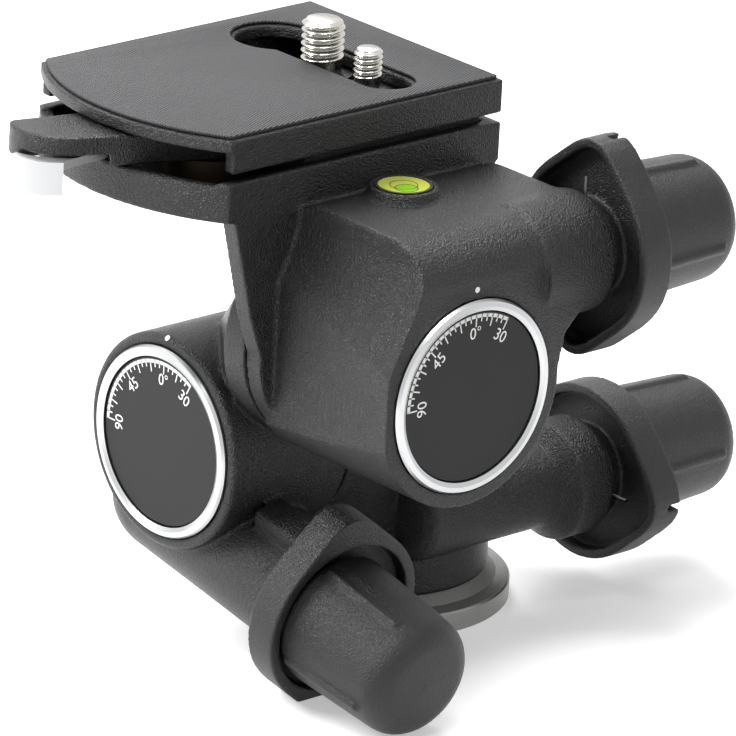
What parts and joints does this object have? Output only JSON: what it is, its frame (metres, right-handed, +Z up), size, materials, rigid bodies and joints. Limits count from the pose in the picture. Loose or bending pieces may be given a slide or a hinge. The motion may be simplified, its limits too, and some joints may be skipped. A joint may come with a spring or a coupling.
{
  "type": "geared tripod head",
  "caption": "Geared tripod head: three self-locking worm drives with release levers and knobs turn a quick-release camera platform in pan, front tilt and side tilt.",
  "frame": {"origin": "on the pan axis at the foot of the base, at the mouth of the tripod thread", "axes": "+Z up, -Y to the operator's front, +X to the right"},
  "size_m": [0.1869, 0.1132, 0.1437],
  "materials": {
    "cast_black": "black wrinkle powder coat on die-cast aluminium",
    "machined_aluminium": "fine turned aluminium",
    "zinc_steel": "ground and zinc-plated steel",
    "bronze": "machined bronze",
    "soft_plastic": "black plastic with a fine soft matt grain",
    "dial_black": "black anodised disc with a printed white scale",
    "pad_rubber": "non-slip rubber with fine diagonal ribs",
    "level_liquid": "clear vial with green-yellow liquid"
  },
  "bodies": {
    "base": {"base_plate": "machined_aluminium", "tripod_bush": "zinc_steel", "pan_spindle": "zinc_steel", "pan_wheel": "bronze", "pan_nut": "zinc_steel", "spindle_screws": "zinc_steel"},
    "pan_body": {"pan_housing": "cast_black", "pan_bearing_plate": "machined_aluminium", "pan_upper_bush": "bronze", "pan_cap": "soft_plastic", "tilt_shaft": "zinc_steel", "tilt_wheel": "bronze", "tilt_dial": "dial_black"},
    "middle_body": {"tilt_housing": "cast_black", "tilt_bezel": "machined_aluminium", "tilt_cover": "machined_aluminium", "tilt_bushes": "bronze", "tilt_cover_screws": "zinc_steel", "roll_shaft": "zinc_steel", "roll_wheel": "bronze", "roll_dial": "dial_black"},
    "top_body": {"top_housing": "cast_black", "roll_bezel": "machined_aluminium", "roll_cover": "machined_aluminium", "roll_bushes": "bronze", "roll_cover_screws": "zinc_steel", "level_ring": "soft_plastic", "level_vial": "level_liquid", "lever_pivot": "zinc_steel"},
    "lock": {"lock_lever": "cast_black", "lock_cam": "bronze", "catch_pin": "bronze", "catch_spring": "zinc_steel"},
    "catch": {"safety_catch": "zinc_steel"},
    "plate": {"camera_plate": "cast_black", "plate_pad": "pad_rubber"},
    "large_washer": {"screw_washer_large": "soft_plastic"},
    "large_screw": {"camera_screw_large": "zinc_steel"},
    "small_washer": {"screw_washer_small": "soft_plastic"},
    "small_screw": {"camera_screw_small": "zinc_steel"},
    "pan_release": {"pan_lever": "soft_plastic", "pan_sleeve": "bronze", "pan_spring": "zinc_steel"},
    "pan_drive": {"pan_knob": "soft_plastic", "pan_worm": "zinc_steel"},
    "tilt_release": {"tilt_lever": "soft_plastic", "tilt_sleeve": "bronze", "tilt_spring": "zinc_steel"},
    "tilt_drive": {"tilt_knob": "soft_plastic", "tilt_worm": "zinc_steel"},
    "roll_release": {"roll_lever": "soft_plastic", "roll_sleeve": "bronze", "roll_spring": "zinc_steel"},
    "roll_drive": {"roll_knob": "soft_plastic", "roll_worm": "zinc_steel"}
  },
  "joints": [
    {"name": "pan", "type": "hinge", "parent": "base", "child": "pan_body", "pos_m": [0, 0, 0.028], "axis": [0, 0, 1], "continuous": true},
    {"name": "front_tilt", "type": "hinge", "parent": "pan_body", "child": "middle_body", "pos_m": [-0.0505, 0, 0.049], "axis": [1, 0, 0], "range_deg": [-90, 30]},
    {"name": "side_tilt", "type": "hinge", "parent": "middle_body", "child": "top_body", "pos_m": [-0.0416, -0.059, 0.0778], "axis": [0, -1, 0], "range_deg": [-30, 90]},
    {"name": "pan_lever_turn", "type": "hinge", "parent": "pan_body", "child": "pan_release", "pos_m": [0.045, -0.02175, 0.0261], "axis": [1, 0, 0], "range_deg": [0, 40], "stiffness_Nm_per_rad": 0.05, "springref_deg": -11.46, "deforming": ["pan_spring"]},
    {"name": "tilt_lever_turn", "type": "hinge", "parent": "middle_body", "child": "tilt_release", "pos_m": [-0.0486, -0.04033, 0.01948], "axis": [0, -0.9836, -0.1805], "range_deg": [0, 40], "stiffness_Nm_per_rad": 0.05, "springref_deg": -11.46, "deforming": ["tilt_spring"]},
    {"name": "roll_lever_turn", "type": "hinge", "parent": "top_body", "child": "roll_release", "pos_m": [0.0034, -0.0609, 0.09955], "axis": [1, 0, 0], "range_deg": [0, 40], "stiffness_Nm_per_rad": 0.05, "springref_deg": -11.46, "deforming": ["roll_spring"]},
    {"name": "pan_knob_turn", "type": "hinge", "parent": "pan_release", "child": "pan_drive", "pos_m": [0.06, -0.02175, 0.028], "axis": [1, 0, 0], "continuous": true},
    {"name": "tilt_knob_turn", "type": "hinge", "parent": "tilt_release", "child": "tilt_drive", "pos_m": [-0.0505, -0.05509, 0.01678], "axis": [0, -0.9836, -0.1805], "range_deg": [-1440, 4320]},
    {"name": "roll_knob_turn", "type": "hinge", "parent": "roll_release", "child": "roll_drive", "pos_m": [0.0184, -0.059, 0.09955], "axis": [1, 0, 0], "range_deg": [-4320, 1440]},
    {"name": "lock_turn", "type": "hinge", "parent": "top_body", "child": "lock", "pos_m": [-0.064, -0.0095, 0.122], "axis": [0, 0, 1], "range_deg": [0, 45]},
    {"name": "catch_turn", "type": "hinge", "parent": "lock", "child": "catch", "pos_m": [-0.0875, -0.0015, 0.12], "axis": [0, 0, -1], "range_deg": [0, 8], "stiffness_Nm_per_rad": 0.01, "springref_deg": -11.46, "deforming": ["catch_spring"]},
    {"name": "plate_lift", "type": "slide", "parent": "top_body", "child": "plate", "axis": [0, 0, 1], "range_m": [0, 0.03]},
    {"name": "large_screw_shift", "type": "slide", "parent": "plate", "child": "large_washer", "axis": [0, 1, 0], "range_m": [0, 0.01]},
    {"name": "large_screw_turn", "type": "hinge", "parent": "large_washer", "child": "large_screw", "pos_m": [-0.0225, 0.001, 0.13], "axis": [0, 0, 1], "continuous": true},
    {"name": "small_screw_shift", "type": "slide", "parent": "plate", "child": "small_washer", "axis": [0, 1, 0], "range_m": [-0.0043, 0]},
    {"name": "small_screw_turn", "type": "hinge", "parent": "small_washer", "child": "small_screw", "pos_m": [-0.0225, -0.014, 0.13], "axis": [0, 0, 1], "continuous": true}
  ],
  "couplings": [
    {"joint": "pan_knob_turn", "follows": "pan", "ratio": 48},
    {"joint": "tilt_knob_turn", "follows": "front_tilt", "ratio": -48},
    {"joint": "roll_knob_turn", "follows": "side_tilt", "ratio": -48}
  ]
}
